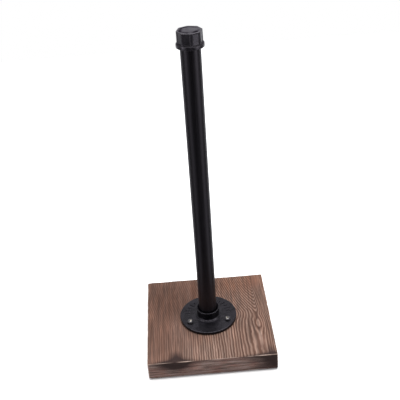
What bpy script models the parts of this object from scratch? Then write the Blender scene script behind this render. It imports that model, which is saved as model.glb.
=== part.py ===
"""Paper towel holder: a square wooden base, a floor flange held by three screws, a steel pipe post
and an octagonal pipe cap. Metres, +Z up. The origin is on the surface that the pads rest on, under
the middle of the base, and the post stands on the Z axis. The front faces -Y."""
import math

import bmesh
import bpy
from mathutils import Matrix, Vector

# Clearance kept between neighbouring solids.
GAP = 0.0003

# Wooden base, on four round pads.
BASE_SIDE = 0.155
BASE_THICK = 0.023
BASE_CORNER_R = 0.003
BASE_EDGE_R = 0.0012
PAD_R = 0.008
PAD_THICK = 0.0017
PAD_EDGE = 0.0004
PAD_INSET = 0.018

# Half-inch steel pipe, threaded at both ends.
PIPE_R = 0.01067
PIPE_BORE_R = 0.0079
PIPE_LENGTH = 0.366
THREAD_PITCH = 0.0254 / 14
THREAD_TURNS = 6
THREAD_DEPTH = 0.0009
THREAD_TAPER = 1 / 32
THREAD_EASE = 0.0012

# Floor flange.
FLANGE_R = 0.0355
FLANGE_PLATE = 0.004
FLANGE_HEIGHT = 0.0155
FLANGE_EDGE = 0.0008
HUB_R = 0.0141
HUB_BEAD = 0.0004
HUB_FOOT_R = 0.0156
HUB_FOOT_RISE = 0.0012
SOCKET_R = PIPE_R + 0.00035
PIPE_FOOT_GAP = 0.003
SCREW_COUNT = 3
SCREW_CIRCLE_R = 0.027
SCREW_HOLE_R = 0.0025
RIB_CIRCLE_R = 0.0262
RIB_STEP_DEG = 12
RIB_LENGTHS = (0.0044, 0.0068, 0.0044, 0.0068, 0.0044)
RIB_WIDTH = 0.0016
RIB_RISE = 0.0006
RIB_SECTORS_DEG = (30, 150)

# Pan head wood screw with a cross recess.
HEAD_R = 0.0036
HEAD_HEIGHT = 0.0026
SHANK_R = 0.0018
SHANK_CORE_R = 0.0013
SHANK_LENGTH = 0.019
SHANK_PLAIN = 0.005
SHANK_TURNS = 6
SHANK_TIP = 0.003
RECESS_LENGTH = 0.0038
RECESS_WIDTH = 0.0009
RECESS_DEPTH = 0.0014
RECESS_TURN_DEG = (15, 50, 75)

# Octagonal pipe cap with a round band at its mouth.
CAP_BAND_R = 0.01475
CAP_BAND_HEIGHT = 0.0052
CAP_BAND_EDGE = 0.0007
CAP_BODY_R = 0.0138
CAP_HEIGHT = 0.0173
CAP_BEVEL = 0.0011
CAP_ROOF = 0.0042
CAP_TURN_DEG = 6

# Heights that follow from the stack of pieces.
BASE_Z = PAD_THICK + GAP
FLANGE_Z = BASE_Z + BASE_THICK + GAP
PLATE_TOP_Z = FLANGE_Z + FLANGE_PLATE
PIPE_Z = FLANGE_Z + PIPE_FOOT_GAP
PIPE_TOP_Z = PIPE_Z + PIPE_LENGTH
CAP_Z = PIPE_TOP_Z + GAP + CAP_ROOF - CAP_HEIGHT

ROUND_STEPS = 48
SMALL_STEPS = 20
SMOOTH_ANGLE = math.radians(35)
MERGE = 0.00001


def clear_scene():
    for item in list(bpy.data.objects):
        bpy.data.objects.remove(item, do_unlink=True)


def new_collection(name):
    collection = bpy.data.collections.new(name)
    bpy.context.scene.collection.children.link(collection)
    return collection


def new_material(name, colour, roughness, metallic):
    material = bpy.data.materials.new(name)
    material.use_nodes = True
    shader = material.node_tree.nodes["Principled BSDF"]
    shader.inputs["Base Color"].default_value = (*colour, 1)
    shader.inputs["Roughness"].default_value = roughness
    shader.inputs["Metallic"].default_value = metallic
    return material


def place(name, mesh, collection, material=None, at=(0, 0, 0), turn=0.0):
    """Put a mesh in a collection at a place, turned about Z."""
    item = bpy.data.objects.new(name, mesh)
    item.location = at
    item.rotation_euler.z = turn
    collection.objects.link(item)
    if material and not mesh.materials:
        mesh.materials.append(material)
    return item


def mesh_of(bm, name, smooth=True):
    mesh = bpy.data.meshes.new(name)
    bm.to_mesh(mesh)
    bm.free()
    if smooth:
        mesh.shade_smooth()
        mesh.set_sharp_from_angle(angle=SMOOTH_ANGLE)
    return mesh


def outline_mesh(name, profile, closed):
    """A chain of edges through the (radius, height) points of a turned profile."""
    bm = bmesh.new()
    points = [bm.verts.new((radius, 0, height)) for radius, height in profile]
    for first, second in zip(points, points[1:]):
        bm.edges.new((first, second))
    if closed:
        bm.edges.new((points[-1], points[0]))
    return mesh_of(bm, name, smooth=False)


def turn_profile(item, steps):
    """Turn the profile of an object once round its Z axis."""
    screw = item.modifiers.new("turned", "SCREW")
    screw.axis = "Z"
    screw.angle = math.tau
    screw.steps = steps
    screw.render_steps = steps
    screw.use_merge_vertices = True
    screw.merge_threshold = MERGE
    screw.use_smooth_shade = True
    return item


def box_mesh(name, size, centre=(0, 0, 0)):
    bm = bmesh.new()
    bmesh.ops.create_cube(bm, size=1)
    bmesh.ops.scale(bm, vec=Vector(size), verts=bm.verts)
    bmesh.ops.translate(bm, vec=Vector(centre), verts=bm.verts)
    return mesh_of(bm, name, smooth=False)


def rod_mesh(name, radius, bottom, top, sides):
    """An upright prism or cylinder from one height to another."""
    bm = bmesh.new()
    bmesh.ops.create_cone(
        bm, cap_ends=True, segments=sides, radius1=radius, radius2=radius, depth=top - bottom
    )
    bmesh.ops.translate(bm, vec=(0, 0, (top + bottom) / 2), verts=bm.verts)
    return mesh_of(bm, name)


def hide_tool(item):
    item.hide_render = True
    item.display_type = "WIRE"
    return item


def combine(item, tool, operation):
    """Cut an object with a tool, or join the tool to it."""
    boolean = item.modifiers.new(tool.name, "BOOLEAN")
    boolean.operation = operation
    boolean.solver = "EXACT"
    boolean.object = hide_tool(tool)


def add_bevel(item, width, segments, angle):
    bevel = item.modifiers.new("eased_edges", "BEVEL")
    bevel.width = width
    bevel.segments = segments
    bevel.limit_method = "ANGLE"
    bevel.angle_limit = angle


def round_spot(index):
    """Angle of one of the equally spaced screws. The last one is straight behind the post."""
    return math.radians(90) + (index + 1) * math.tau / SCREW_COUNT


def on_circle(radius, angle, height=0.0):
    return Vector((radius * math.cos(angle), radius * math.sin(angle), height))


def pilot_depth():
    """Depth of a screw's hole in the base, measured from the base's top."""
    head_underside = PLATE_TOP_Z + GAP
    return BASE_Z + BASE_THICK - (head_underside - SHANK_LENGTH - GAP)


def make_base(parts, tools):
    bm = bmesh.new()
    bmesh.ops.create_cube(bm, size=1)
    bmesh.ops.scale(bm, vec=(BASE_SIDE, BASE_SIDE, BASE_THICK), verts=bm.verts)
    bmesh.ops.translate(bm, vec=(0, 0, BASE_THICK / 2), verts=bm.verts)
    upright = [e for e in bm.edges if abs(e.verts[0].co.z - e.verts[1].co.z) > BASE_THICK / 2]
    bmesh.ops.bevel(
        bm, geom=upright, offset=BASE_CORNER_R, segments=3, profile=0.5, affect="EDGES"
    )
    wood = new_material("torched_wood", (0.22, 0.12, 0.075), 0.7, 0)
    base = place("wooden_base", mesh_of(bm, "wooden_base"), parts, wood, (0, 0, BASE_Z))
    add_bevel(base, BASE_EDGE_R, 2, math.radians(60))
    hole = rod_mesh("pilot_hole", SHANK_R + GAP, -pilot_depth(), PAD_THICK, SMALL_STEPS)
    for index in range(SCREW_COUNT):
        spot = on_circle(SCREW_CIRCLE_R, round_spot(index), BASE_Z + BASE_THICK)
        tool = place(f"pilot_hole_{index + 1}", hole, tools, at=spot)
        combine(base, tool, "DIFFERENCE")


def make_pads(parts):
    profile = [
        (0, PAD_THICK),
        (PAD_R - PAD_EDGE, PAD_THICK),
        (PAD_R, PAD_THICK - PAD_EDGE),
        (PAD_R, PAD_EDGE),
        (PAD_R - PAD_EDGE, 0),
        (0, 0),
    ]
    rubber = new_material("pad_rubber", (0.03, 0.03, 0.03), 0.8, 0)
    reach = BASE_SIDE / 2 - PAD_INSET
    for end, y in (("front", -reach), ("back", reach)):
        for side, x in (("left", -reach), ("right", reach)):
            name = f"foot_pad_{end}_{side}"
            pad = place(name, outline_mesh(name, profile, False), parts, rubber, (x, y, 0))
            turn_profile(pad, SMALL_STEPS)


def flange_profile():
    """Closed section of the flange: round plate, stepped foot ring, hub with a beaded rim, bore."""
    slope_rise = 0.0003
    plate_z = FLANGE_PLATE
    foot_z = plate_z + HUB_FOOT_RISE
    rim_z = FLANGE_HEIGHT
    bead_z = rim_z - 6 * HUB_BEAD
    return [
        (SOCKET_R, rim_z - 2 * HUB_BEAD),
        (SOCKET_R + 2 * HUB_BEAD, rim_z),
        (HUB_R, rim_z),
        (HUB_R + HUB_BEAD, rim_z - HUB_BEAD),
        (HUB_R + HUB_BEAD, bead_z + HUB_BEAD),
        (HUB_R, bead_z),
        (HUB_R + HUB_BEAD, foot_z + 2 * HUB_BEAD),
        (HUB_FOOT_R - HUB_BEAD, foot_z),
        (HUB_FOOT_R, foot_z - HUB_BEAD),
        (HUB_FOOT_R + 2 * HUB_BEAD, plate_z),
        (FLANGE_R - 2 * FLANGE_EDGE, plate_z - slope_rise),
        (FLANGE_R - FLANGE_EDGE / 2, plate_z - slope_rise - FLANGE_EDGE / 2),
        (FLANGE_R, plate_z - slope_rise - 1.5 * FLANGE_EDGE),
        (FLANGE_R, 0),
        (SOCKET_R, 0),
    ]


def rib_mesh():
    """Short radial casting ribs, standing in two groups on the back half of the plate."""
    bm = bmesh.new()
    height = 2 * RIB_RISE
    middle = (len(RIB_LENGTHS) - 1) / 2
    for sector in RIB_SECTORS_DEG:
        for number, length in enumerate(RIB_LENGTHS):
            angle = math.radians(sector + (number - middle) * RIB_STEP_DEG)
            spot = on_circle(RIB_CIRCLE_R, angle, FLANGE_PLATE)
            matrix = (
                Matrix.Translation(spot)
                @ Matrix.Rotation(angle, 4, "Z")
                @ Matrix.Diagonal((length, RIB_WIDTH, height, 1))
            )
            bmesh.ops.create_cube(bm, size=1, matrix=matrix)
    return mesh_of(bm, "casting_ribs", smooth=False)


def make_flange(parts, tools):
    iron = new_material("cast_iron", (0.025, 0.026, 0.03), 0.6, 0.6)
    mesh = outline_mesh("floor_flange", flange_profile(), True)
    flange = place("floor_flange", mesh, parts, iron, (0, 0, FLANGE_Z))
    turn_profile(flange, ROUND_STEPS)
    ribs = place("casting_ribs", rib_mesh(), tools, at=(0, 0, FLANGE_Z))
    combine(flange, ribs, "UNION")
    hole = rod_mesh("screw_hole", SCREW_HOLE_R, -FLANGE_PLATE, 2 * FLANGE_PLATE, SMALL_STEPS)
    for index in range(SCREW_COUNT):
        spot = on_circle(SCREW_CIRCLE_R, round_spot(index), FLANGE_Z)
        tool = place(f"screw_hole_{index + 1}", hole, tools, at=spot)
        combine(flange, tool, "DIFFERENCE")


def screw_profile():
    """Domed head, plain neck, rings for the wood thread, and a point. Height 0 is under the head."""
    points = [(0, HEAD_HEIGHT)]
    dome_steps = 4
    rim_z = HEAD_HEIGHT * 0.3
    for step in range(1, dome_steps + 1):
        angle = math.radians(90) * step / dome_steps
        height = rim_z + (HEAD_HEIGHT - rim_z) * math.cos(angle) ** 0.8
        points.append((HEAD_R * math.sin(angle) ** 0.9, height))
    points += [(HEAD_R, rim_z / 2), (HEAD_R * 0.93, 0), (SHANK_R, 0), (SHANK_R, -SHANK_PLAIN)]
    pitch = (SHANK_LENGTH - SHANK_PLAIN - SHANK_TIP) / SHANK_TURNS
    for turn in range(SHANK_TURNS):
        top = -SHANK_PLAIN - turn * pitch
        points += [(SHANK_CORE_R, top - pitch * 0.4), (SHANK_R, top - pitch * 0.8)]
    points += [(SHANK_CORE_R, -SHANK_LENGTH + SHANK_TIP * 0.8), (0, -SHANK_LENGTH)]
    return points


def make_screws(parts, tools):
    steel = new_material("screw_steel", (0.18, 0.18, 0.19), 0.35, 0.9)
    size = (RECESS_LENGTH, RECESS_WIDTH, 2 * RECESS_DEPTH)
    slot = box_mesh("recess_slot", size, (0, 0, HEAD_HEIGHT))
    for index in range(SCREW_COUNT):
        name = f"flange_screw_{index + 1}"
        spot = on_circle(SCREW_CIRCLE_R, round_spot(index), PLATE_TOP_Z + GAP)
        mesh = outline_mesh(name, screw_profile(), False)
        screw = place(name, mesh, parts, steel, spot)
        turn_profile(screw, SMALL_STEPS)
        for arm in range(2):
            turn = math.radians(RECESS_TURN_DEG[index] + 90 * arm)
            tool = place(f"recess_{index + 1}_{arm + 1}", slot, tools, at=spot, turn=turn)
            combine(screw, tool, "DIFFERENCE")


def thread_points(start, direction):
    """Crests and roots of a tapered thread, from the pipe's end at start towards its middle."""
    points = []
    length = THREAD_TURNS * THREAD_PITCH
    for turn in range(THREAD_TURNS):
        for share, depth in ((0.25, THREAD_DEPTH), (0.75, 0.0)):
            along = (turn + share) * THREAD_PITCH
            radius = PIPE_R - (length - along) * THREAD_TAPER - depth
            points.append((radius, start + direction * along))
    return points


def pipe_profile():
    """Closed section of the pipe, down its outer side and back up its bore."""
    thread_length = THREAD_TURNS * THREAD_PITCH
    end_r = PIPE_R - THREAD_DEPTH - thread_length * THREAD_TAPER
    runout = thread_length + THREAD_EASE
    return [
        (PIPE_BORE_R, PIPE_LENGTH),
        (end_r, PIPE_LENGTH),
        *thread_points(PIPE_LENGTH, -1),
        (PIPE_R, PIPE_LENGTH - runout),
        (PIPE_R, runout),
        *reversed(thread_points(0, 1)),
        (end_r, 0),
        (PIPE_BORE_R, 0),
    ]


def make_pipe(parts):
    paint = new_material("black_pipe", (0.012, 0.011, 0.014), 0.35, 0.3)
    mesh = outline_mesh("pipe", pipe_profile(), True)
    turn_profile(place("pipe", mesh, parts, paint, (0, 0, PIPE_Z)), ROUND_STEPS)


def make_cap(parts, tools):
    iron = new_material("cap_iron", (0.03, 0.03, 0.034), 0.5, 0.6)
    body = rod_mesh("pipe_cap", CAP_BODY_R, CAP_BAND_HEIGHT / 2, CAP_HEIGHT, 8)
    turn = math.radians(CAP_TURN_DEG)
    cap = place("pipe_cap", body, parts, iron, (0, 0, CAP_Z), turn)
    add_bevel(cap, CAP_BEVEL, 2, math.radians(60))
    top, edge = CAP_BAND_HEIGHT, CAP_BAND_EDGE
    band_profile = [
        (0, top),
        (CAP_BAND_R - 2 * edge, top),
        (CAP_BAND_R - edge / 2, top - edge / 2),
        (CAP_BAND_R, top - 1.5 * edge),
        (CAP_BAND_R, 1.5 * edge),
        (CAP_BAND_R - edge / 2, edge / 2),
        (CAP_BAND_R - 1.5 * edge, 0),
        (0, 0),
    ]
    band_mesh = outline_mesh("cap_band", band_profile, False)
    band = turn_profile(place("cap_band", band_mesh, tools, at=(0, 0, CAP_Z)), ROUND_STEPS)
    combine(cap, band, "UNION")
    bore = rod_mesh("cap_bore", SOCKET_R, -GAP * 10, CAP_HEIGHT - CAP_ROOF, ROUND_STEPS)
    combine(cap, place("cap_bore", bore, tools, at=(0, 0, CAP_Z)), "DIFFERENCE")


def main():
    clear_scene()
    parts = new_collection("paper_towel_holder")
    tools = new_collection("cutters")
    make_base(parts, tools)
    make_pads(parts)
    make_flange(parts, tools)
    make_screws(parts, tools)
    make_pipe(parts)
    make_cap(parts, tools)


main()
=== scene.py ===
"""A paper towel holder: a black iron pipe on a floor flange, on a square of torched and brushed wood.

Everything is in metres, with the object standing on z = 0 and its front towards -Y.
"""

import math

import bmesh
import bpy
import numpy as np
from mathutils import Matrix, Vector


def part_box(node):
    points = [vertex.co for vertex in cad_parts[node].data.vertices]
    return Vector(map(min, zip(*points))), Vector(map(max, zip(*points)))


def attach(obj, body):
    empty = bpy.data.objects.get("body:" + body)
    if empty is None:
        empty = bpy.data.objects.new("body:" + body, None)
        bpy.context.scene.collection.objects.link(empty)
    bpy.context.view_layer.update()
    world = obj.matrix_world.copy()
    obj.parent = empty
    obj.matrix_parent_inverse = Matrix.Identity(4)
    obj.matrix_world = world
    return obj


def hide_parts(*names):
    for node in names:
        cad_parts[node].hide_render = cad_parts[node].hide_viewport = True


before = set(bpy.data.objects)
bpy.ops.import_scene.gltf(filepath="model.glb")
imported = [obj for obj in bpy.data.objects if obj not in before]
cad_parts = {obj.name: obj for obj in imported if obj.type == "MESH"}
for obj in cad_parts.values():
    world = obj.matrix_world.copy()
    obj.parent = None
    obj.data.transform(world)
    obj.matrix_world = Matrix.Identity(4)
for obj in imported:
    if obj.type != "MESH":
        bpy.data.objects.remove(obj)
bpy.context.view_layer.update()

MM = 0.001
TURN = 2 * math.pi

# A Mix node's sockets for colours: the share, the two colours and the result
MIX_SHARE, MIX_A, MIX_B, MIX_RESULT = 0, 6, 7, 2

# ---------------------------------------------------------------- sizes that the looks add to the frame

# The board: its lattice's steps, its corners and edges, and how deep it is brushed and uneven
BOARD_STEPS = (0.58 * MM, 1.3 * MM, 1.4 * MM)
BOARD_CORNER = 1.4 * MM
BOARD_EASE = 1.0 * MM
BOARD_RELIEF = 0.30 * MM
BOARD_HOLLOWS = 0.10 * MM

# The board's growth rings: where the tree's centre runs under it, and the eye in the grain
RING_WIDTH = 2.6 * MM
RING_CORNER_BACK = 1.25
RING_CORNER_FRONT = 1.6
PITH_X = 61 * MM
PITH_DEPTH = 32.6 * MM
PITH_TILT = 0.40
PITH_BEND = 8 * MM
EYE = (61.8 * MM, -22.5 * MM)
EYE_DIP = 2.7 * MM
EYE_SIZE = (6.5 * MM, 11.5 * MM)

# The flange: a plate that falls a little to its rim, a hub on a low foot, screw holes and radial ribs
PLATE_RISE = 4.0 * MM
PLATE_FALL = 0.3 * MM
PLATE_EDGE = 0.7 * MM
PLATE_LIP = 0.5 * MM
HUB_RADIUS = 14.1 * MM
HUB_BEAD = 0.45 * MM
FOOT_RADIUS = 15.6 * MM
FOOT_RISE = 1.2 * MM
SOCKET_RADIUS = 11.4 * MM
HOLE_RADIUS = 2.5 * MM
HOLE_SINK = 1.4 * MM
RIB_CIRCLE = 26.2 * MM
RIB_LENGTHS = (4.4 * MM, 6.8 * MM)
RIB_WIDTH = 1.9 * MM
RIB_RISE = 1.0 * MM
RIB_SECTORS_DEGREES = (30, 150)
RIBS_PER_SECTOR = 5
RIB_SPACING_DEGREES = 12
CAST_VOXEL = 0.36 * MM

SCREW_HEAD = 2.6 * MM
SCREW_SHANK = 1.8 * MM
SCREW_CORE = 1.35 * MM
SCREW_PITCH = 1.4 * MM
RECESS_DEPTH = 1.5 * MM
RECESS_REACH = 1.9 * MM
RECESS_WIDTH = 0.95 * MM

# The post: half-inch pipe with a tapered thread at each end, drawn a little thicker than the frame's
THREAD_PITCH = 25.4 / 14 * MM
THREAD_DEPTH = 0.9 * MM
THREAD_TURNS = 6
THREAD_TAPER = 1 / 32
PIPE_BORE = 7.9 * MM
PIPE_SWELL = 0.3 * MM
PIPE_CHAMFER = 0.7 * MM

CAP_FLATS = 8
CAP_CORNER_RADIUS = 13.8 * MM
CAP_TURNED_DEGREES = 6
CAP_BAND_HEIGHT = 4.6 * MM
CAP_CROWN = 0.3 * MM
CAP_ROOF = 4.2 * MM
CAP_WALL_RADIUS = 11.9 * MM
CAP_VOXEL = 0.27 * MM


# ---------------------------------------------------------------- numbers over space

def smooth_noise(points, size, seed, octaves=2):
    """Smooth noise at (n, 3) points, mostly between -1 and 1, with features about `size` across."""
    table = np.random.default_rng(seed).uniform(-1, 1, (32, 32, 32))
    total = np.zeros(len(points))
    for octave in range(octaves):
        place = points / size * 2 ** octave + 11.7 * (seed + octave)
        cell = np.floor(place).astype(int)
        part = place - cell
        part = part * part * (3 - 2 * part)
        for corner in np.ndindex(2, 2, 2):
            weight = np.where(corner, part, 1 - part).prod(axis=1)
            index = (cell + corner) % 32
            total += weight * table[index[:, 0], index[:, 1], index[:, 2]] * 0.5 ** octave
    return total


def blob(points, centre, size):
    """A soft spot: 1 at its centre, about a third at `size` along each axis, and nothing far away."""
    offset = (points - np.array(centre)) / np.array(size)
    return np.exp(-(offset ** 2).sum(axis=1))


def smoothstep(low, high, value):
    """0 below low and 1 above high, eased between; low may be the larger, and then it falls."""
    share = np.clip((value - low) / (high - low), 0, 1)
    return share * share * (3 - 2 * share)


# ---------------------------------------------------------------- meshes

def object_from(name, mesh):
    """A new object in the scene that shows the mesh."""
    piece = bpy.data.objects.new(name, mesh)
    bpy.context.scene.collection.objects.link(piece)
    return piece


def mesh_from(name, points, faces):
    mesh = bpy.data.meshes.new(name)
    mesh.from_pydata([tuple(p) for p in points], [], [tuple(f) for f in faces])
    mesh.update()
    return mesh


def points_of(mesh):
    values = np.zeros(len(mesh.vertices) * 3)
    mesh.vertices.foreach_get("co", values)
    return values.reshape(-1, 3)


def normals_of(mesh):
    values = np.zeros(len(mesh.vertices) * 3)
    mesh.vertex_normals.foreach_get("vector", values)
    return values.reshape(-1, 3)


def set_points(mesh, points):
    mesh.vertices.foreach_set("co", np.asarray(points, float).ravel())
    mesh.update()


def set_attribute(mesh, name, values):
    """Stores one number for each vertex, for the material to read."""
    layer = mesh.attributes.new(name, "FLOAT", "POINT")
    layer.data.foreach_set("value", np.asarray(values, np.float32))


def smooth_shade(piece, sharp_degrees=None):
    piece.data.shade_smooth()
    if sharp_degrees is not None:
        piece.data.set_sharp_from_angle(angle=math.radians(sharp_degrees))


def apply_modifiers(piece):
    """Turns what the modifiers show into the piece's own mesh."""
    shown = piece.evaluated_get(bpy.context.evaluated_depsgraph_get())
    mesh = bpy.data.meshes.new_from_object(shown)
    piece.modifiers.clear()
    piece.data = mesh
    return piece


def arc(centre, radius, start, end, steps=5):
    """Points on an arc in a profile's plane, from one angle in degrees to another."""
    angles = np.radians(np.linspace(start, end, steps + 1))
    return [(centre[0] + radius * math.cos(a), centre[1] + radius * math.sin(a)) for a in angles]


def turned(name, profile, steps=96):
    """A closed profile of (radius, height) points turned about the Z axis. It runs anticlockwise."""
    radii, heights = np.array(profile).T
    angles = np.arange(steps) * TURN / steps
    count = len(profile)
    points = np.stack([
        np.outer(np.cos(angles), radii),
        np.outer(np.sin(angles), radii),
        np.outer(np.ones(steps), heights),
    ], -1).reshape(-1, 3)
    faces = []
    for i in range(steps):
        for j in range(count):
            here, there = i * count, (i + 1) % steps * count
            after = (j + 1) % count
            faces.append((here + j, there + j, there + after, here + after))
    mesh = mesh_from(name, points, faces)
    model = bmesh.new()
    model.from_mesh(mesh)
    bmesh.ops.remove_doubles(model, verts=model.verts, dist=1e-7)
    bmesh.ops.recalc_face_normals(model, faces=model.faces)
    model.to_mesh(mesh)
    model.free()
    return object_from(name, mesh)


def cut(piece, tool):
    """Takes the tool's shape out of the piece and removes the tool."""
    modifier = piece.modifiers.new("cut", "BOOLEAN")
    modifier.operation = "DIFFERENCE"
    modifier.solver = "EXACT"
    modifier.object = tool
    apply_modifiers(piece)
    bpy.data.objects.remove(tool)
    return piece


def merge(piece, others):
    """Joins other pieces' meshes to the piece's own, as loose shells, and removes them."""
    model = bmesh.new()
    for part in [piece, *others]:
        copy = part.data.copy()
        copy.transform(part.matrix_world)
        model.from_mesh(copy)
        bpy.data.meshes.remove(copy)
    model.to_mesh(piece.data)
    model.free()
    for part in others:
        bpy.data.objects.remove(part)
    return piece


def cast(piece, voxel, smoothing):
    """Remeshes a piece as one skin and softens its corners, as sand casting does."""
    remesh = piece.modifiers.new("skin", "REMESH")
    remesh.mode = "VOXEL"
    remesh.voxel_size = voxel
    soften = piece.modifiers.new("soften", "SMOOTH")
    soften.factor = 0.5
    soften.iterations = smoothing
    apply_modifiers(piece)
    smooth_shade(piece)
    return piece


def sand_texture(piece, rough, lumpy, seed):
    """Moves a casting's skin by fine grit and by broad unevenness, given as heights in metres. Faces
    that look straight down stay flat."""
    mesh = piece.data
    points, normals = points_of(mesh), normals_of(mesh)
    grit = smooth_noise(points, 1.2 * MM, seed, octaves=2)
    lumps = smooth_noise(points, 8 * MM, seed + 1, octaves=2)
    height = (rough * grit + lumpy * lumps) * smoothstep(-0.95, -0.6, normals[:, 2])
    set_points(mesh, points + normals * height[:, None])


def helix_radius(angle, height, start, direction, radius):
    """How far a tapered pipe thread's surface is from the axis. The thread starts at one height and
    runs up (direction 1) or down (direction -1) from it."""
    along = (height - start) * direction
    length = THREAD_TURNS * THREAD_PITCH
    phase = (height / THREAD_PITCH - angle / TURN) % 1
    tooth = np.abs(2 * phase - 1)
    taper = np.clip(length - along, 0, length) * THREAD_TAPER
    fade = smoothstep(length, length - THREAD_PITCH, along)
    crest = radius - taper * 0.5
    return np.where(along < length, crest - THREAD_DEPTH * tooth * fade, radius)


# ---------------------------------------------------------------- materials

# The tint of the black paint's reflections, which are faintly violet in the photograph
VIOLET_SHEEN = (0.93, 0.86, 1.0)


class Shader:
    """A material's nodes, with short calls for the ones that repeat."""

    def __init__(self, name):
        self.material = bpy.data.materials.new(name)
        self.material.use_nodes = True
        self.tree = self.material.node_tree
        self.surface = self.tree.nodes["Principled BSDF"]
        self.place = self.node("ShaderNodeTexCoord").outputs["Object"]

    def put(self, socket, value):
        """Links a socket to another, or sets its own value."""
        if isinstance(value, bpy.types.NodeSocket):
            self.tree.links.new(value, socket)
        else:
            socket.default_value = value

    def node(self, kind, inputs=None, **settings):
        made = self.tree.nodes.new(kind)
        for key, value in settings.items():
            setattr(made, key, value)
        for key, value in (inputs or {}).items():
            self.put(made.inputs[key], value)
        return made

    def attribute(self, name):
        return self.node("ShaderNodeAttribute", attribute_name=name).outputs["Fac"]

    def math(self, operation, a, b=0.0, c=0.0):
        return self.node("ShaderNodeMath", {0: a, 1: b, 2: c}, operation=operation).outputs[0]

    def stretched(self, scale):
        """The place on the object with each axis multiplied by its scale, in cycles a metre."""
        made = self.node("ShaderNodeMapping", {"Vector": self.place, "Scale": scale})
        return made.outputs["Vector"]

    def noise(self, vector, scale, detail=3.0, roughness=0.55):
        inputs = {"Vector": vector, "Scale": scale, "Detail": detail, "Roughness": roughness}
        return self.node("ShaderNodeTexNoise", inputs).outputs["Fac"]

    def remap(self, value, low, high, to_low=0.0, to_high=1.0):
        inputs = {
            "Value": value, "From Min": low, "From Max": high, "To Min": to_low, "To Max": to_high,
        }
        return self.node("ShaderNodeMapRange", inputs).outputs["Result"]

    def ramp(self, value, stops):
        made = self.node("ShaderNodeValToRGB", {"Fac": value})
        elements = made.color_ramp.elements
        while len(elements) < len(stops):
            elements.new(0.5)
        for element, (position, colour) in zip(elements, stops):
            element.position = position
            element.color = (*colour, 1)
        return made.outputs["Color"]

    def mix(self, share, a, b, blend="MIX"):
        made = self.node("ShaderNodeMix", data_type="RGBA", blend_type=blend)
        for key, value in ((MIX_SHARE, share), (MIX_A, a), (MIX_B, b)):
            if isinstance(value, tuple):
                value = (*value, 1)
            self.put(made.inputs[key], value)
        return made.outputs[MIX_RESULT]

    def grey(self, value):
        return self.node("ShaderNodeCombineColor", {0: value, 1: value, 2: value}).outputs[0]

    def bump(self, height, distance, strength=1.0, normal=None):
        inputs = {"Height": height, "Distance": distance, "Strength": strength}
        if normal is not None:
            inputs["Normal"] = normal
        return self.node("ShaderNodeBump", inputs).outputs["Normal"]

    def finish(self, colour, roughness, normal, metallic=0.0, **others):
        """Sets the surface: each value is a number or colour, or a socket."""
        values = {"Base Color": colour, "Roughness": roughness, "Normal": normal, "Metallic": metallic}
        for key, value in {**values, **others}.items():
            if isinstance(value, tuple):
                value = (*value, 1)
            self.put(self.surface.inputs[key], value)
        return self.material


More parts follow.
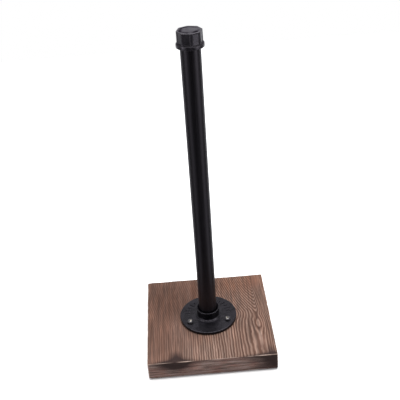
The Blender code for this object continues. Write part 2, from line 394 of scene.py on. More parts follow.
def torched_wood():
    """Softwood that was torched and wire-brushed: pale raised latewood over burnt grooves."""
    s = Shader("torched_wood")
    fibre = s.noise(s.stretched((900, 22, 900)), 1.0, detail=4.0, roughness=0.6)
    phase = s.math("FRACT", s.math("MULTIPLY_ADD", fibre, 0.36, s.attribute("ring")))
    dark = (0.050, 0.026, 0.018)
    banded = s.ramp(phase, [
        (0.0, dark),
        (0.22, (0.062, 0.033, 0.024)),
        (0.46, (0.124, 0.080, 0.062)),
        (0.70, (0.200, 0.137, 0.110)),
        (0.88, (0.120, 0.077, 0.060)),
        (1.0, dark),
    ])
    grained = s.mix(s.attribute("contrast"), (0.084, 0.048, 0.037), banded)
    # Fibre streaks, wider veins and broad blotches, where the flame and the brush were uneven
    streaks = s.remap(s.noise(s.stretched((1400, 40, 1400)), 1.0, detail=3.0), 0.3, 0.7, 0.76, 1.24)
    veins = s.remap(s.noise(s.stretched((480, 22, 480)), 1.0, detail=2.0), 0.3, 0.7, 0.66, 1.34)
    blotches = s.remap(s.noise(s.stretched((70, 40, 70)), 1.0, detail=4.0), 0.3, 0.7, 0.88, 1.12)
    value = s.math("MULTIPLY", s.math("MULTIPLY", streaks, veins), blotches)
    value = s.math("MULTIPLY", value, s.attribute("tone"))
    shaded = s.mix(1.0, grained, s.grey(value), blend="MULTIPLY")
    hue = s.noise(s.stretched((260, 16, 260)), 1.0, detail=2.0)
    warmth = s.math("ADD", s.attribute("warmth"), s.remap(hue, 0.3, 0.7, -0.22, 0.22))
    warm = s.mix(warmth, shaded, (1.0, 0.76, 0.62), blend="MULTIPLY")
    # The front and back faces are sawn end grain: greyer, with level saw marks
    saw = s.noise(s.stretched((38, 200, 900)), 1.0, detail=5.0, roughness=0.65)
    pores = s.noise(s.stretched((1500, 1500, 1500)), 1.0, detail=2.0)
    sawn = s.ramp(s.math("MULTIPLY_ADD", pores, 0.25, s.math("MULTIPLY", saw, 0.75)), [
        (0.38, (0.040, 0.024, 0.020)),
        (0.50, (0.110, 0.073, 0.063)),
        (0.62, (0.200, 0.143, 0.126)),
    ])
    patches = s.noise(s.stretched((60, 60, 160)), 1.0, detail=3.0)
    sawn = s.mix(s.remap(patches, 0.45, 0.65), sawn, (1.0, 0.80, 0.76), blend="MULTIPLY")
    body = s.mix(s.attribute("end_grain"), warm, sawn)
    # Scorched spots, ragged at their borders
    ragged = s.math("MULTIPLY_ADD", s.math("SUBTRACT", fibre, 0.5), 0.5, s.attribute("scorch"))
    burnt = s.mix(s.remap(ragged, 0.15, 0.95, 0.0, 0.95), body, (0.018, 0.009, 0.008))
    # Pale eased edges: painted highlight along the arrises, partly brushed wear
    colour = s.mix(s.attribute("edge"), burnt, (0.40, 0.30, 0.25))
    roughness = s.remap(fibre, 0.3, 0.7, 0.62, 0.80)
    normal = s.bump(fibre, 0.10 * MM, 0.7)
    normal = s.bump(s.math("MULTIPLY", saw, s.attribute("end_grain")), 0.5 * MM, 0.8, normal)
    return s.finish(colour, roughness, normal, **{"Specular IOR Level": 0.15})


def cast_iron(name, colour, glaze, roughness, shine, seed):
    """Black-painted grey iron: fine sand-cast grit, a thin shine, paint rubbed off proud edges whose pale
    colour is partly painted highlight, and painted shade as near-black colour without shine.
    """
    s = Shader(name)
    shift = (seed, seed * 2, seed * 3)
    shifted = s.node("ShaderNodeMapping", {"Vector": s.place, "Location": shift}).outputs[0]
    grit = s.noise(shifted, 1300, detail=4.0, roughness=0.65)
    mottle = s.noise(shifted, 160, detail=4.0, roughness=0.6)
    painted = s.mix(s.remap(mottle, 0.35, 0.68), colour, glaze)
    # Pale rubbed paint, which is also painted highlight on the edges that catch the light
    rub_and_highlight = s.remap(s.math("MULTIPLY", s.attribute("wear_and_highlight"), s.remap(grit, 0.3, 0.6)), 0.2, 1.0)
    shown = s.mix(rub_and_highlight, painted, (0.13, 0.125, 0.14))
    # Painted shade: where it is set, a near-black colour and the shader's black metal, which reflects less
    # than its black paint, take the shine off
    painted_shade = s.attribute("painted_shade")
    shown = s.mix(painted_shade, shown, (0.0012, 0.0012, 0.0014))
    rough = s.remap(mottle, 0.3, 0.7, roughness - 0.07, roughness + 0.08)
    rough = s.math("MULTIPLY_ADD", painted_shade, 0.3, rough)
    metallic = s.math("MAXIMUM", s.math("MULTIPLY", rub_and_highlight, 0.6), painted_shade)
    normal = s.bump(grit, 0.12 * MM, 0.55)
    return s.finish(shown, rough, normal, metallic=metallic,
                    **{"Specular IOR Level": shine, "Specular Tint": VIOLET_SHEEN})


def pipe_paint():
    """Satin black enamel on steel tube, with a faint violet tint, drawn-tube streaks and fine dust."""
    s = Shader("pipe_paint")
    peel = s.noise(s.place, 900, detail=2.0, roughness=0.5)
    streaks = s.noise(s.stretched((700, 700, 14)), 1.0, detail=3.0)
    dust = s.noise(s.place, 2600, detail=2.0, roughness=0.7)
    tint = s.mix(s.remap(streaks, 0.35, 0.65), (0.0013, 0.0011, 0.0015), (0.0024, 0.0020, 0.0030))
    specks = s.remap(dust, 0.70, 0.80)
    colour = s.mix(specks, tint, (0.014, 0.013, 0.015))
    roughness = s.remap(streaks, 0.3, 0.7, 0.34, 0.44)
    normal = s.bump(peel, 0.03 * MM, 0.5)
    return s.finish(colour, roughness, normal, **{"Specular Tint": VIOLET_SHEEN})


def screw_steel():
    """Dark plated steel with bright bare metal where the driver bit has rubbed the recess."""
    s = Shader("screw_steel")
    grain = s.noise(s.place, 3000, detail=3.0, roughness=0.6)
    smear = s.noise(s.place, 700, detail=2.0)
    dark = s.mix(s.remap(smear, 0.35, 0.65), (0.030, 0.029, 0.034), (0.060, 0.056, 0.060))
    rub = s.remap(s.math("MULTIPLY", s.attribute("wear_and_highlight"), s.remap(grain, 0.25, 0.6)), 0.15, 0.8)
    colour = s.mix(rub, dark, (0.78, 0.72, 0.62))
    roughness = s.remap(grain, 0.3, 0.7, 0.26, 0.42)
    normal = s.bump(grain, 0.02 * MM, 0.6)
    return s.finish(colour, roughness, normal, metallic=s.remap(rub, 0.0, 1.0, 0.55, 1.0))


def pad_rubber():
    """Matte black rubber with a fine moulded grain."""
    s = Shader("pad_rubber")
    grain = s.noise(s.place, 2200, detail=3.0, roughness=0.6)
    bloom = s.noise(s.place, 260, detail=3.0)
    colour = s.mix(s.remap(bloom, 0.35, 0.7), (0.016, 0.016, 0.017), (0.034, 0.033, 0.034))
    return s.finish(colour, s.remap(grain, 0.3, 0.7, 0.78, 0.92), s.bump(grain, 0.05 * MM, 0.7))


def pale_floor():
    """Plain pale paper with a very fine tooth."""
    s = Shader("pale_floor")
    return s.finish((0.86, 0.86, 0.86), 0.9, s.bump(s.noise(s.place, 400), 0.02 * MM, 0.2))


# ---------------------------------------------------------------- the wooden base

def lattice_lines(low, high, step, ease):
    """Where a box's lattice lines lie along one axis: evenly, and closer together at the eased ends."""
    near = ease * np.array([0, 0.12, 0.28, 0.5, 0.75, 1.1])
    middle = np.linspace(low + 1.7 * ease, high - 1.7 * ease, round((high - low - 3.4 * ease) / step))
    return np.concatenate([low + near, middle, (high - near)[::-1]])


def lattice_box(lines):
    """A box's outside as quads on the given lattice lines along X, Y and Z."""
    quads = []
    for axis in range(3):
        a, b = [k for k in range(3) if k != axis]
        i, j = np.meshgrid(np.arange(len(lines[a]) - 1), np.arange(len(lines[b]) - 1), indexing="ij")
        for end in (0, len(lines[axis]) - 1):
            order = [(0, 0), (1, 0), (1, 1), (0, 1)]
            if (end == 0) != (axis == 1):
                order.reverse()
            quad = np.zeros((*i.shape, 4, 3), int)
            quad[..., axis] = end
            for corner, (step_a, step_b) in enumerate(order):
                quad[..., corner, a] = i + step_a
                quad[..., corner, b] = j + step_b
            quads.append(quad.reshape(-1, 4, 3))
    keys, faces = np.unique(np.concatenate(quads).reshape(-1, 3), axis=0, return_inverse=True)
    points = np.stack([lines[k][keys[:, k]] for k in range(3)], -1)
    return points, faces.reshape(-1, 4)


def eased(points, low, high, corner, ease):
    """Points on a plain box moved onto one with round upright corners and eased edges."""
    centre, half = (low + high) / 2, (high - low) / 2
    p = points - centre
    side = np.sign(p)
    inner = half[:2] - corner
    over = np.clip(np.abs(p[:, :2]) - inner, 0, None)
    length = np.maximum(np.linalg.norm(over, axis=1), 1e-9)
    squeeze = np.where(length > 1e-8, over.max(axis=1) / length, 1)
    over = over * squeeze[:, None]
    p[:, :2] = side[:, :2] * (np.minimum(np.abs(p[:, :2]), inner) + over)
    length = np.maximum(np.linalg.norm(over, axis=1), 1e-9)
    inside = np.where(length > 1e-8, corner - length, corner)
    inward = -side[:, :2] * over / length[:, None]
    a = np.clip(ease - inside, 0, None)
    b = np.clip(ease - (half[2] - np.abs(p[:, 2])), 0, None)
    share = np.maximum(a, b) / np.maximum(np.hypot(a, b), 1e-9)
    share = np.where((a > 0) & (b > 0), share, 1)
    p[:, :2] += inward * (a * (1 - share))[:, None]
    p[:, 2] -= side[:, 2] * b * (1 - share)
    return p + centre


def ring_number(points, top):
    """How many growth rings a point lies from the tree's centre. The centre runs level under the front
    of the board and climbs towards its back, so the saw leaves pointed arches on the back right of the
    top, an eye in front of them, and nearly straight lines elsewhere."""
    x, y, z = points.T
    across = x - PITH_X
    across = np.abs(np.where(across > 0, 1.6 * across, across))
    eye = ((x - EYE[0]) / EYE_SIZE[0]) ** 2 + ((y - EYE[1]) / EYE_SIZE[1]) ** 2
    rise = PITH_TILT * (y + np.hypot(y, PITH_BEND)) / 2 + EYE_DIP * np.exp(-eye)
    depth = np.abs(PITH_DEPTH - rise + (z - top))
    corner = RING_CORNER_BACK + (RING_CORNER_FRONT - RING_CORNER_BACK) * smoothstep(5 * MM, -20 * MM, y)
    reach = (across ** corner + depth ** corner) ** (1 / corner)
    wander = smooth_noise(points * (1, 0.45, 1), 15 * MM, seed=3, octaves=2) * 0.7 * MM
    ripple = smooth_noise(points * (1, 0.8, 1), 3.6 * MM, seed=4, octaves=1) * 0.30 * MM
    return (reach + wander + ripple) / RING_WIDTH


def make_board(material):
    """The board: a fine lattice whose points carry the grain, the flame's marks and the brushing."""
    low, high = (np.array(v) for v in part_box("wooden_base"))
    lines = [lattice_lines(low[k], high[k], BOARD_STEPS[k], BOARD_EASE) for k in range(3)]
    flat, faces = lattice_box(lines)
    ease = BOARD_EASE * (1 + 0.45 * smooth_noise(flat, 9 * MM, seed=5))
    points = eased(flat, low, high, BOARD_CORNER, ease)
    mesh = mesh_from("board", points, faces)
    normals = normals_of(mesh)
    x, y = points[:, 0] / MM, points[:, 1] / MM
    end_grain = smoothstep(0.55, 0.85, np.abs(normals[:, 1]))
    ring = ring_number(points, high[2])

    # Where the grain stands out: least on the back left, most on the front and right
    contrast = 0.28 + 0.50 * smoothstep(-40, 20, x - 0.25 * y)
    contrast *= 1 - 0.4 * blob(points[:, :2], (-0.035, -0.02), (0.02, 0.035))
    contrast *= 1 - 0.85 * blob(points[:, :2], (0.064, 0.060), (0.011, 0.017))
    contrast *= 1 - 0.5 * blob(points[:, :2], (0.061, -0.052), (0.006, 0.012))

    # Light, shade and warmth left by the flame, as soft spots on the top: place, size, shade and warmth
    tone = np.full(len(points), 1.0)
    warmth = np.full(len(points), 0.30)
    for place, size, shade, warm in (
        ((-0.060, 0.050), (0.045, 0.045), -0.26, 0.32),
        ((-0.030, 0.030), (0.050, 0.040), -0.10, 0.12),
        ((-0.037, -0.025), (0.016, 0.026), 0.20, -0.20),
        ((-0.015, -0.066), (0.018, 0.012), 0.20, -0.45),
        ((0.010, -0.060), (0.040, 0.030), 0.12, -0.15),
        ((-0.065, -0.030), (0.020, 0.050), -0.08, 0.32),
        ((-0.0155, 0.057), (0.004, 0.022), -0.22, 0.80),
        ((-0.0105, 0.057), (0.002, 0.020), 0.22, -0.20),
        ((0.035, 0.060), (0.024, 0.020), -0.12, 0.60),
        ((0.068, 0.066), (0.012, 0.014), 0.16, 0.40),
        ((0.061, -0.052), (0.006, 0.014), 0.60, -0.20),
    ):
        spot = blob(points[:, :2], place, size)
        tone += shade * spot
        warmth += warm * spot
    warmth = np.clip(warmth, 0, 1)

    # Scorch marks at the front left and the front right of the top, and on the face below them
    scorch = np.zeros(len(points))
    for place, size, strength in (
        ((-0.0430, -0.0685, high[2]), (0.008, 0.0085, 0.004), 0.85),
        ((-0.0440, -0.0775, high[2] - 0.004), (0.020, 0.006, 0.010), 1.35),
        ((-0.0500, -0.0775, high[2] - 0.001), (0.028, 0.003, 0.002), 0.80),
        ((0.0705, -0.0690, high[2]), (0.0055, 0.008, 0.004), 0.65),
        ((0.0760, -0.0775, high[2] - 0.008), (0.028, 0.005, 0.024), 1.10),
        ((0.0500, -0.0775, high[2] - 0.001), (0.035, 0.003, 0.003), 0.45),
    ):
        scorch += strength * blob(points, place, size)

    # Paler eased edges: painted highlight along the arrises, partly brushed wear
    edge_noise = smooth_noise(points, 13 * MM, seed=9)
    eased_share = 1 - np.abs(normals).max(axis=1)
    edge = np.clip(eased_share * 4, 0, 1) * np.clip(0.60 + 0.6 * edge_noise, 0, 1)

    # Brushing takes the soft wood out of the grooves between the rings
    phase = ring % 1
    ridge = smoothstep(0.12, 0.5, phase) * (1 - smoothstep(0.85, 1.0, phase))
    sunk = BOARD_RELIEF * (1 - ridge) * contrast * np.where(end_grain > 0.5, 0.3, 1.0)
    hollows = BOARD_HOLLOWS * smooth_noise(points, 14 * MM, seed=6)
    keep_flat = smoothstep(low[2] + 0.1 * MM, low[2] + 1.5 * MM, points[:, 2])
    depth = (sunk + np.abs(hollows)) * keep_flat
    set_points(mesh, points - normals * depth[:, None])
    for name, values in (
        ("ring", ring),
        ("contrast", contrast * (1 - end_grain)),
        ("tone", tone),
        ("warmth", warmth * (1 - end_grain)),
        ("scorch", scorch),
        ("end_grain", end_grain),
        ("edge", edge),
    ):
        set_attribute(mesh, name, values)
    piece = object_from("board", mesh)
    smooth_shade(piece)
    mesh.materials.append(material)
    return piece


# ---------------------------------------------------------------- the iron fittings

def rib(length, width, height):
    """A low bar with bevelled edges, lying along X. It reaches its height above z = 0, and as far below."""
    model = bmesh.new()
    bmesh.ops.create_cube(model, size=1)
    bmesh.ops.scale(model, vec=(length, width, 2 * height), verts=model.verts)
    bmesh.ops.bevel(model, geom=model.edges[:], offset=height * 0.6, segments=2, affect="EDGES")
    mesh = bpy.data.meshes.new("rib")
    model.to_mesh(mesh)
    model.free()
    return object_from("rib", mesh)


def around(angle_degrees, radius, height=0.0):
    """The point at an angle and a radius round the post's axis."""
    angle = math.radians(angle_degrees)
    return Vector((radius * math.cos(angle), radius * math.sin(angle), height))


def make_flange(material):
    """The cast floor flange: a thin round plate, a hub with a beaded rim, and low radial ribs."""
    low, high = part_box("floor_flange")
    radius, foot, top = high.x, low.z, high.z
    plate = foot + PLATE_RISE
    rim = plate - PLATE_FALL
    step = plate + FOOT_RISE
    edge = PLATE_EDGE
    lip = PLATE_LIP
    profile = [
        (SOCKET_RADIUS + lip, foot),
        (radius - lip, foot),
        *arc((radius - lip, foot + lip), lip, -90, 0, 3),
        *arc((radius - edge, rim - edge), edge, 0, 90, 5),
        (FOOT_RADIUS + 1.2 * MM, plate),
        *arc((FOOT_RADIUS + 0.7 * MM, plate + 0.7 * MM), 0.7 * MM, 270, 180, 4),
        *arc((FOOT_RADIUS - 0.5 * MM, step - 0.5 * MM), 0.5 * MM, 0, 90, 4),
        *arc((HUB_RADIUS + 0.45 * MM, step + 0.45 * MM), 0.45 * MM, 270, 180, 4),
        (HUB_RADIUS, top - 3.0 * HUB_BEAD),
        *arc((HUB_RADIUS - 0.2 * MM, top - HUB_BEAD - 0.2 * MM), HUB_BEAD + 0.2 * MM, -35, 90, 7),
        (SOCKET_RADIUS + 1.0 * MM, top - 0.05 * MM),
        (SOCKET_RADIUS, top - 1.0 * MM),
        (SOCKET_RADIUS, foot + lip),
    ]
    piece = turned("flange", profile, steps=160)
    for number in (1, 2, 3):
        screw_low, screw_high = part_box(f"flange_screw_{number}")
        centre = (screw_low + screw_high) / 2
        hole = turned("hole", [
            (0, foot - MM),
            (HOLE_RADIUS, foot - MM),
            (HOLE_RADIUS, plate - 0.9 * MM),
            (HOLE_RADIUS + HOLE_SINK, plate + 0.5 * MM),
            (HOLE_RADIUS + HOLE_SINK, plate + 3 * MM),
            (0, plate + 3 * MM),
        ], steps=40)
        hole.data.transform(Matrix.Translation((centre.x, centre.y, 0)))
        cut(piece, hole)
    ribs = []
    spots = []
    for sector in RIB_SECTORS_DEGREES:
        for number in range(RIBS_PER_SECTOR):
            angle = sector + (number - (RIBS_PER_SECTOR - 1) / 2) * RIB_SPACING_DEGREES
            length = RIB_LENGTHS[number % 2]
            bar = rib(length, RIB_WIDTH, RIB_RISE)
            turn = Matrix.Rotation(math.radians(angle), 4, "Z")
            bar.matrix_world = Matrix.Translation(around(angle, RIB_CIRCLE, plate - 0.15 * MM)) @ turn
            ribs.append(bar)
            spots.append((math.radians(angle), length))
    bpy.context.view_layer.update()
    merge(piece, ribs)
    cast(piece, CAST_VOXEL, 3)
    sand_texture(piece, 0.035 * MM, 0.07 * MM, 21)
    points = points_of(piece.data)
    reach = np.hypot(points[:, 0], points[:, 1])
    height = points[:, 2]
    # Painted highlights as pale paint: thin lines on the hub's rim and foot and round the plate's edge
    rim_highlight = np.exp(-(((height - top) / (0.5 * MM)) ** 2)) * (reach > HUB_RADIUS - 0.8 * MM)
    off_foot = ((height - step) / (0.45 * MM)) ** 2 + ((reach - FOOT_RADIUS) / (0.8 * MM)) ** 2
    foot_highlight = np.exp(-off_foot)
    edge_highlight = np.exp(-((reach - radius) / (0.8 * MM)) ** 2) * (height > rim - edge)
    patchy = np.clip(0.6 + 0.6 * smooth_noise(points, 12 * MM, seed=23), 0, 1)
    wear_and_highlight = (0.45 * rim_highlight + 0.42 * foot_highlight + 0.30 * edge_highlight) * patchy
    set_attribute(piece.data, "wear_and_highlight", np.clip(wear_and_highlight, 0, 1))
    # Painted shade, a near-black colour without shine, inside the hub's bead, on and round the ribs, and on
    # the front of the plate
    inside_bead = smoothstep(HUB_RADIUS - 0.3 * MM, HUB_RADIUS - 0.9 * MM, reach)
    painted_shade = 0.9 * inside_bead * (height > top - 1.5 * MM)
    for angle, length in spots:
        along = points[:, 0] * math.cos(angle) + points[:, 1] * math.sin(angle) - RIB_CIRCLE
        aside = points[:, 1] * math.cos(angle) - points[:, 0] * math.sin(angle)
        outside = np.maximum(np.abs(along) - length / 2, np.abs(aside) - RIB_WIDTH / 2)
        near = smoothstep(0.9 * MM, 0.2 * MM, outside) * (height > plate - MM)
        painted_shade = np.maximum(painted_shade, 0.6 * near)
    painted_shade = np.maximum(painted_shade, 0.45 * blob(points[:, :2], (0, -0.027), (0.012, 0.009)))
    set_attribute(piece.data, "painted_shade", painted_shade)
    piece.data.materials.clear()
    piece.data.materials.append(material)
    return piece


def blade_tool(depth, reach, width):
    """One blade of the cross recess, lying along X below z = 0 and narrowing as it goes down."""
    model = bmesh.new()
    corners = []
    for height, half, thick in ((0.5 * MM, reach * 1.15, width), (-depth, reach * 0.4, width * 0.6)):
        for side_x in (-1, 1):
            for side_y in (-1, 1):
                corners.append(model.verts.new((side_x * half, side_y * thick / 2, height)))
    bmesh.ops.convex_hull(model, input=corners)
    mesh = bpy.data.meshes.new("blade")
    model.to_mesh(mesh)
    model.free()
    return object_from("blade", mesh)


def make_screw(name, node, turn_degrees, material):
    """A pan head wood screw: a domed head, a cross recess, and a shank whose thread is rings."""
    low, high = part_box(node)
    centre = (low + high) / 2
    head_radius = (high.x - low.x) / 2
    seat = high.z - SCREW_HEAD
    teeth = []
    for foot in np.arange(low.z + 3.5 * MM, seat - 4.0 * MM, SCREW_PITCH):
        teeth.append((SCREW_CORE, foot))
        teeth.append((SCREW_SHANK, foot + 0.35 * SCREW_PITCH))
        teeth.append((SCREW_CORE, foot + 0.7 * SCREW_PITCH))
    profile = [
        (0, low.z),
        (0.25 * MM, low.z + 0.1 * MM),
        *teeth,
        (SCREW_CORE, seat - 1.5 * MM),
        (SCREW_SHANK, seat - 1.0 * MM),
        (SCREW_SHANK, seat),
        (head_radius - 0.3 * MM, seat),
        *arc((head_radius - 0.3 * MM, seat + 0.3 * MM), 0.3 * MM, -90, 0, 3),
        *arc((head_radius - 1.5 * MM, high.z - 1.6 * MM), 1.5 * MM, 0, 78, 8),
        (0.9 * MM, high.z - 0.02 * MM),
        (0, high.z),
    ]
    piece = turned(name, profile, steps=64)
    for turn in (turn_degrees, turn_degrees + 90):
        blade = blade_tool(RECESS_DEPTH, RECESS_REACH, RECESS_WIDTH)
        blade.data.transform(Matrix.Rotation(math.radians(turn), 4, "Z"))
        blade.data.transform(Matrix.Translation((0, 0, high.z)))
        cut(piece, blade)
    piece.data.transform(Matrix.Translation((centre.x, centre.y, 0)))
    points = points_of(piece.data)
    reach = np.hypot(points[:, 0] - centre.x, points[:, 1] - centre.y)
    rub_and_highlight = smoothstep(2.5 * MM, 1.8 * MM, reach) * (points[:, 2] > seat + 1.0 * MM)
    patchy = np.clip(0.5 + smooth_noise(points, 1.4 * MM, seed=40), 0, 1)
    set_attribute(piece.data, "wear_and_highlight", rub_and_highlight * patchy)
    piece.data.materials.clear()
    piece.data.materials.append(material)
    smooth_shade(piece, 32)
    return piece


def make_pipe(material):
    """The post: a steel tube, open at both ends, with a tapered thread cut on each."""
    low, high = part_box("pipe")
    radius = high.x + PIPE_SWELL
    steps = 128
    length = (THREAD_TURNS + 1) * THREAD_PITCH
    fine = np.arange(0, length, 0.16 * MM)
    heights = np.concatenate([
        low.z + fine,
        np.linspace(low.z + length, high.z - length, 40),
        (high.z - fine)[::-1],
    ])
    angles = np.arange(steps) * TURN / steps
    angle, height = np.meshgrid(angles, heights)
    middle = (low.z + high.z) / 2
    outer = np.where(
        height < middle,
        helix_radius(angle, height, low.z, 1, radius),
        helix_radius(angle, height, high.z, -1, radius),
    )
    to_end = np.minimum(height - low.z, high.z - height)
    outer -= np.clip(PIPE_CHAMFER - to_end, 0, None)
    # Rings of points: the lower mouth of the bore, up the outside, the upper mouth and down the bore
    mouth = np.full(steps, PIPE_BORE + 0.3 * MM)
    rows = [(mouth, np.full(steps, low.z))]
    for k in range(len(heights)):
        rows.append((outer[k], np.full(steps, heights[k])))
    rows.append((mouth, np.full(steps, high.z)))
    for inner in np.linspace(high.z - 0.4 * MM, low.z + 0.4 * MM, 12):
        rows.append((np.full(steps, PIPE_BORE), np.full(steps, inner)))
    points = np.concatenate([
        np.stack([r * np.cos(angles), r * np.sin(angles), h], -1) for r, h in rows
    ])
    faces = []
    count = len(rows)
    for k in range(count):
        here, above = k * steps, (k + 1) % count * steps
        for i in range(steps):
            after = (i + 1) % steps
            faces.append((here + i, here + after, above + after, above + i))
    piece = object_from("post", mesh_from("post", points, faces))
    piece.data.materials.append(material)
    smooth_shade(piece, 40)
    return piece


def make_cap(material):
    """The cast pipe cap: eight shallowly dished flats and a crowned top, over a round band."""
    low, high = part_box("pipe_cap")
    band_radius = high.x
    bottom, top = low.z, high.z
    band_top = bottom + CAP_BAND_HEIGHT
    bore = SOCKET_RADIUS
    roof = top - CAP_ROOF
    band = turned("band", [
        (bore + 0.5 * MM, bottom),
        (band_radius - 0.9 * MM, bottom),
        *arc((band_radius - 0.9 * MM, bottom + 0.9 * MM), 0.9 * MM, -90, 0, 5),
        *arc((band_radius - 1.3 * MM, band_top - 1.3 * MM), 1.3 * MM, 0, 90, 6),
        (CAP_WALL_RADIUS, band_top + 0.4 * MM),
        (CAP_WALL_RADIUS, roof - 0.5 * MM),
        (bore, roof - 0.5 * MM),
        (bore, bottom + 0.5 * MM),
    ], steps=128)
    model = bmesh.new()
    crown = top + CAP_CROWN
    # Each level of the octagon: its height and its share of the full size
    levels = [
        (band_top - 1.6 * MM, 1.0),
        (crown - 0.35 * MM, 1.0),
        (crown - 0.22 * MM, 0.985),
        (crown - 0.18 * MM, 0.93),
        (crown - 0.42 * MM, 0.84),
        (crown - 0.12 * MM, 0.66),
        (crown, 0.34),
    ]
    rows = []
    for height, share in levels:
        row = []
        for k in range(CAP_FLATS):
            place = around(CAP_TURNED_DEGREES + k * 360 / CAP_FLATS, CAP_CORNER_RADIUS * share, height)
            row.append(model.verts.new(place))
        rows.append(row)
    for lower, upper in zip(rows, rows[1:]):
        for k in range(CAP_FLATS):
            after = (k + 1) % CAP_FLATS
            model.faces.new((lower[k], lower[after], upper[after], upper[k]))
    model.faces.new(rows[-1])
    model.faces.new(rows[0][::-1])
    model.normal_update()
    upright = [e for e in model.edges if abs(e.verts[0].co.z - e.verts[1].co.z) > 3 * MM]
    bmesh.ops.bevel(model, geom=upright, offset=0.6 * MM, segments=3, affect="EDGES")
    flats = [f for f in model.faces if abs(f.normal.z) < 0.1 and f.calc_area() > 80 * MM * MM]
    bmesh.ops.inset_individual(model, faces=flats, thickness=1.1 * MM, depth=0)
    bmesh.ops.inset_individual(model, faces=flats, thickness=0.6 * MM, depth=-0.4 * MM)
    mesh = bpy.data.meshes.new("cap")
    model.to_mesh(mesh)
    model.free()
    piece = object_from("cap", mesh)
    bore_tool = turned("bore", [
        (0, bottom - 2 * MM),
        (bore, bottom - 2 * MM),
        (bore, roof + 0.3 * MM),
        (0, roof + 0.8 * MM),
    ], steps=96)
    cut(piece, bore_tool)
    merge(piece, [band])
    cast(piece, CAP_VOXEL, 3)
    sand_texture(piece, 0.03 * MM, 0.06 * MM, 31)
    points, normals = points_of(piece.data), normals_of(piece.data)
    reach = np.hypot(points[:, 0], points[:, 1])
    height = points[:, 2]
    # Painted highlights as pale paint: lines on the flats' top and bottom edges, and a faint one on the
    # upward crown
    rim = np.exp(-((height - (top - 0.3 * MM)) / (0.6 * MM)) ** 2) * (reach > 12 * MM)
    base = np.exp(-((height - (band_top + 1.2 * MM)) / (0.6 * MM)) ** 2) * (reach > 12 * MM)
    crown_highlight = 0.15 * smoothstep(0.8, 0.98, normals[:, 2]) * (height > top - 2 * MM)
    patchy = np.clip(0.6 + 0.7 * smooth_noise(points, 6 * MM, seed=33), 0, 1)
    set_attribute(piece.data, "wear_and_highlight", np.clip((0.4 * rim + 0.3 * base + crown_highlight) * patchy, 0, 1))
    # Painted shade, a near-black colour without shine, in the corner above the band and in the shallow ring
    # on the crown, more faintly over the crown's middle
    corner = smoothstep(0.9 * MM, 0.3 * MM, np.abs(height - band_top))
    corner *= smoothstep(0.2, 0.6, normals[:, 2])
    ring = np.exp(-((reach - 9.8 * MM) / (2.2 * MM)) ** 2) * (height > top - MM)
    middle = (reach < 11 * MM) * (height > top - MM)
    crown_shade = (0.9 * ring + 0.35 * middle) * patchy
    set_attribute(piece.data, "painted_shade", np.clip(0.7 * corner + crown_shade, 0, 1))
    piece.data.materials.clear()
    piece.data.materials.append(material)
    return piece


def make_pad(name, node, material):
    """A rubber foot: a low disc with a rounded lip and a shallow ring moulded in its face."""
    low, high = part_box(node)
    centre = (low + high) / 2
    radius = (high.x - low.x) / 2
    lip = 0.45 * MM
    groove = 0.25 * MM
    profile = [
        (0, low.z),
        (radius * 0.45, low.z),
        *arc((radius * 0.52, low.z), groove, 180, 0, 6),
        (radius * 0.60, low.z),
        (radius - lip, low.z),
        *arc((radius - lip, low.z + lip), lip, -90, 0, 4),
        (radius, high.z - 0.1 * MM),
        (radius - 0.1 * MM, high.z),
        (0, high.z),
    ]
    piece = turned(name, profile, steps=72)
    piece.data.transform(Matrix.Translation((centre.x, centre.y, 0)))
    piece.data.materials.append(material)
    smooth_shade(piece, 40)
    return piece


# ---------------------------------------------------------------- floor, light and camera

# How bright the studio is by direction: a place between the front, 0, and the back, 1, and a brightness
STUDIO = (
    (0.0, 0.03),
    (0.10, 0.05),
    (0.22, 0.75),
    (0.30, 0.60),
    (0.42, 0.05),
    (0.69, 0.05),
    (0.76, 0.80),
    (0.93, 0.95),
)
CEILING = (0.60, 0.60, 0.61)

FLOOR_HALF_SIDE = 1.05
FLOOR_DROP = 0.2 * MM

# The photograph's camera, fitted to the base's and the post's edges
LENS_MM = 65.0
CAMERA_PLACE = (-0.0155, -0.7024, 0.6330)
CAMERA_YAW = 1.21
CAMERA_PITCH = 31.72
CAMERA_ROLL = -3.90


def make_floor():
    """Pale paper under the object. It doesn't show in reflections."""
    model = bmesh.new()
    bmesh.ops.create_grid(model, x_segments=8, y_segments=8, size=FLOOR_HALF_SIDE)
    mesh = bpy.data.meshes.new("floor")
    model.to_mesh(mesh)
    model.free()
    floor = object_from("floor", mesh)
    floor.location.z = -FLOOR_DROP
    floor.visible_glossy = False
    mesh.materials.append(pale_floor())


def soft_light(name, place, aim, size, power):
    lamp = bpy.data.lights.new(name, "AREA")
    lamp.shape = "RECTANGLE"
    lamp.size, lamp.size_y = size
    lamp.energy = power
    light = bpy.data.objects.new(name, lamp)
    light.location = place
    light.rotation_euler = (Vector(aim) - Vector(place)).to_track_quat("-Z", "Y").to_euler()
    bpy.context.scene.collection.objects.link(light)


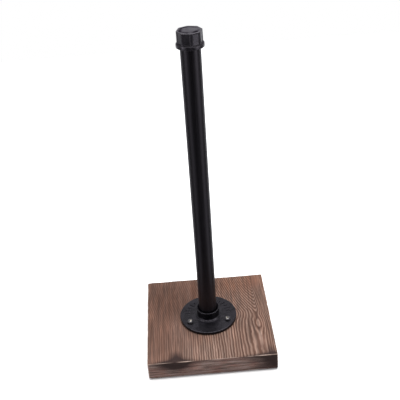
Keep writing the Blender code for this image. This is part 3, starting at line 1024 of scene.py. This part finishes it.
def make_world():
    """A studio that is bright behind the object, overhead and in a strip on each side of its front. The
    camera itself sees plain white in its place."""
    world = bpy.data.worlds.new("studio")
    world.use_nodes = True
    world.cycles.sampling_method = "NONE"
    bpy.context.scene.world = world
    tree = world.node_tree

    def node(kind, inputs, **settings):
        made = tree.nodes.new(kind)
        for key, value in settings.items():
            setattr(made, key, value)
        for key, value in inputs.items():
            if isinstance(value, bpy.types.NodeSocket):
                tree.links.new(value, made.inputs[key])
            else:
                made.inputs[key].default_value = value
        return made

    def math_node(operation, a, b=0.0):
        return node("ShaderNodeMath", {0: a, 1: b}, operation=operation).outputs[0]

    direction = node("ShaderNodeTexCoord", {}).outputs["Generated"]
    x, y, z = node("ShaderNodeSeparateXYZ", {0: direction}).outputs
    squares = math_node("ADD", math_node("MULTIPLY", x, x), math_node("MULTIPLY", y, y))
    level = math_node("MAXIMUM", math_node("SQRT", squares), 0.001)
    backward = node("ShaderNodeMapRange", {
        "Value": math_node("DIVIDE", y, level), "From Min": -1.0, "From Max": 1.0,
    }).outputs["Result"]
    ramp = node("ShaderNodeValToRGB", {"Fac": backward})
    elements = ramp.color_ramp.elements
    for _ in range(len(STUDIO) - 2):
        elements.new(0.5)
    for element, (position, brightness) in zip(elements, STUDIO):
        element.position = position
        element.color = (brightness, brightness, brightness * 1.04, 1)
    side = node("ShaderNodeMapRange", {
        "Value": math_node("DIVIDE", x, level), "From Min": -1.0, "From Max": 1.0,
        "To Min": 0.8, "To Max": 1.2,
    }).outputs["Result"]
    scaled = node("ShaderNodeVectorMath", {0: ramp.outputs["Color"], "Scale": side}, operation="SCALE")
    height = node("ShaderNodeMapRange", {"Value": z, "From Min": 0.1, "From Max": 0.7})
    room = node("ShaderNodeMix", {
        MIX_SHARE: height.outputs["Result"], MIX_A: scaled.outputs[0], MIX_B: (*CEILING, 1),
    }, data_type="RGBA")
    shown = node("ShaderNodeMix", {
        MIX_SHARE: node("ShaderNodeLightPath", {}).outputs["Is Camera Ray"],
        MIX_A: room.outputs[MIX_RESULT],
        MIX_B: (1, 1, 1, 1),
    }, data_type="RGBA")
    tree.links.new(shown.outputs[MIX_RESULT], tree.nodes["Background"].inputs["Color"])


def make_light():
    """The studio, a large soft light overhead and a weak one on each side."""
    make_world()
    soft_light("overhead", (0.1, 0.25, 2.2), (0, 0.1, 0), (1.7, 1.7), 90)
    soft_light("left", (-1.1, -0.55, 0.55), (0, 0, 0.15), (0.35, 1.1), 4.5)
    soft_light("right", (1.0, -0.65, 0.55), (0, 0, 0.15), (0.35, 1.1), 5)
    bpy.context.scene.view_settings.view_transform = "Standard"


def make_camera():
    """The photograph's view: from in front and above, with a slight roll."""
    lens = bpy.data.cameras.new("camera")
    lens.lens = LENS_MM
    lens.sensor_width = 36.0
    camera = bpy.data.objects.new("camera", lens)
    camera.matrix_world = (
        Matrix.Translation(CAMERA_PLACE)
        @ Matrix.Rotation(math.radians(-CAMERA_YAW), 4, "Z")
        @ Matrix.Rotation(math.radians(90 - CAMERA_PITCH), 4, "X")
        @ Matrix.Rotation(math.radians(CAMERA_ROLL), 4, "Z")
    )
    bpy.context.scene.collection.objects.link(camera)
    bpy.context.scene.camera = camera


# ---------------------------------------------------------------- the object

def place(piece, body, node, slot):
    """Puts a piece on its body, in place of its CAD node. Its slot is not used."""
    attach(piece, body)
    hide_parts(node)


def main():
    make_camera()
    make_floor()
    make_light()
    place(make_board(torched_wood()), "stand", "wooden_base", "torched_wood")
    flange_iron = cast_iron(
        "flange_iron", colour=(0.0015, 0.0014, 0.0020), glaze=(0.0036, 0.0033, 0.0048),
        roughness=0.30, shine=0.27, seed=0.3,
    )
    place(make_flange(flange_iron), "stand", "floor_flange", "flange_iron")
    steel = screw_steel()
    for number, turn in ((1, 15), (2, 50), (3, 75)):
        node = f"flange_screw_{number}"
        place(make_screw(f"screw_{number}", node, turn, steel), "stand", node, "screw_steel")
    place(make_pipe(pipe_paint()), "post", "pipe", "pipe_paint")
    cap_iron = cast_iron(
        "cap_iron", colour=(0.0030, 0.0027, 0.0036), glaze=(0.0100, 0.0090, 0.0120),
        roughness=0.34, shine=0.60, seed=0.7,
    )
    place(make_cap(cap_iron), "cap", "pipe_cap", "cap_iron")
    rubber = pad_rubber()
    for where in ("front_left", "front_right", "back_left", "back_right"):
        node = f"foot_pad_{where}"
        place(make_pad(f"pad_{where}", node, rubber), "stand", node, "pad_rubber")


main()
